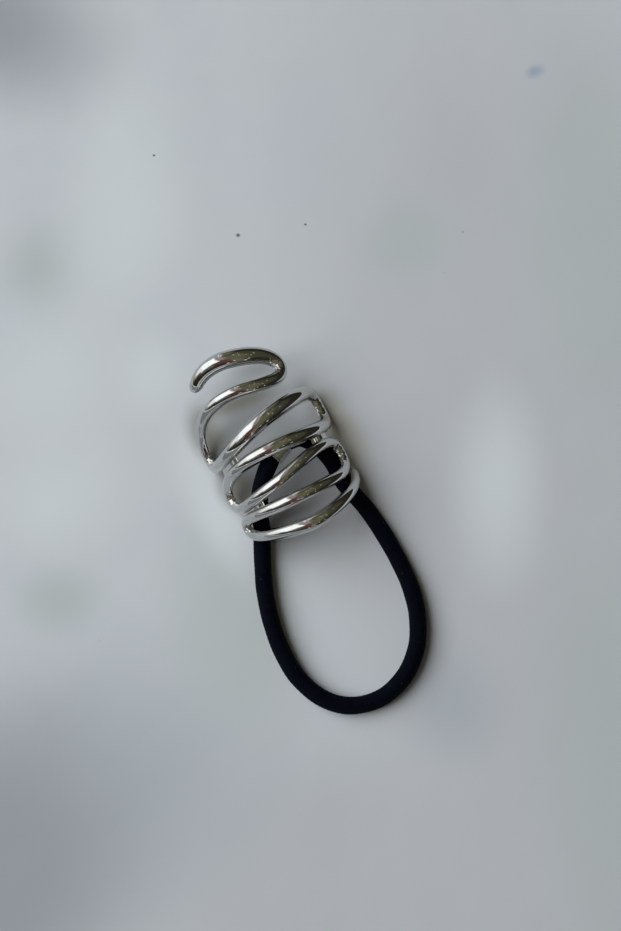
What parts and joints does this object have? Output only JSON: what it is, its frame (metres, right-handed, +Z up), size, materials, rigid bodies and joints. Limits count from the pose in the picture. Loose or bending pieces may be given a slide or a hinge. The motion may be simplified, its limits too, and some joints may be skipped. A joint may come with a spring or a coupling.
{
  "type": "spiral hair cuff on an elastic hair tie",
  "caption": "Open half-round hair cuff cast as one band winding to and fro over an arch, with a covered elastic loop joined in a sleeve under its middle.",
  "frame": {"origin": "centre of the cuff's footprint on the surface it rests on", "axes": "+Z up from the surface to the crown of the arch, +Y along the cuff from the elastic loop's side to the raised free end, +X across the arch"},
  "size_m": [0.0366, 0.0863, 0.0154],
  "materials": {
    "polished_metal": "bright silver-coloured plating over a casting, mirror polished",
    "covered_elastic": "near-black knitted cover over a rubber core, slightly fuzzy"
  },
  "bodies": {
    "root": {"spiral_cuff": "polished_metal", "elastic_loop": "covered_elastic"}
  },
  "joints": []
}
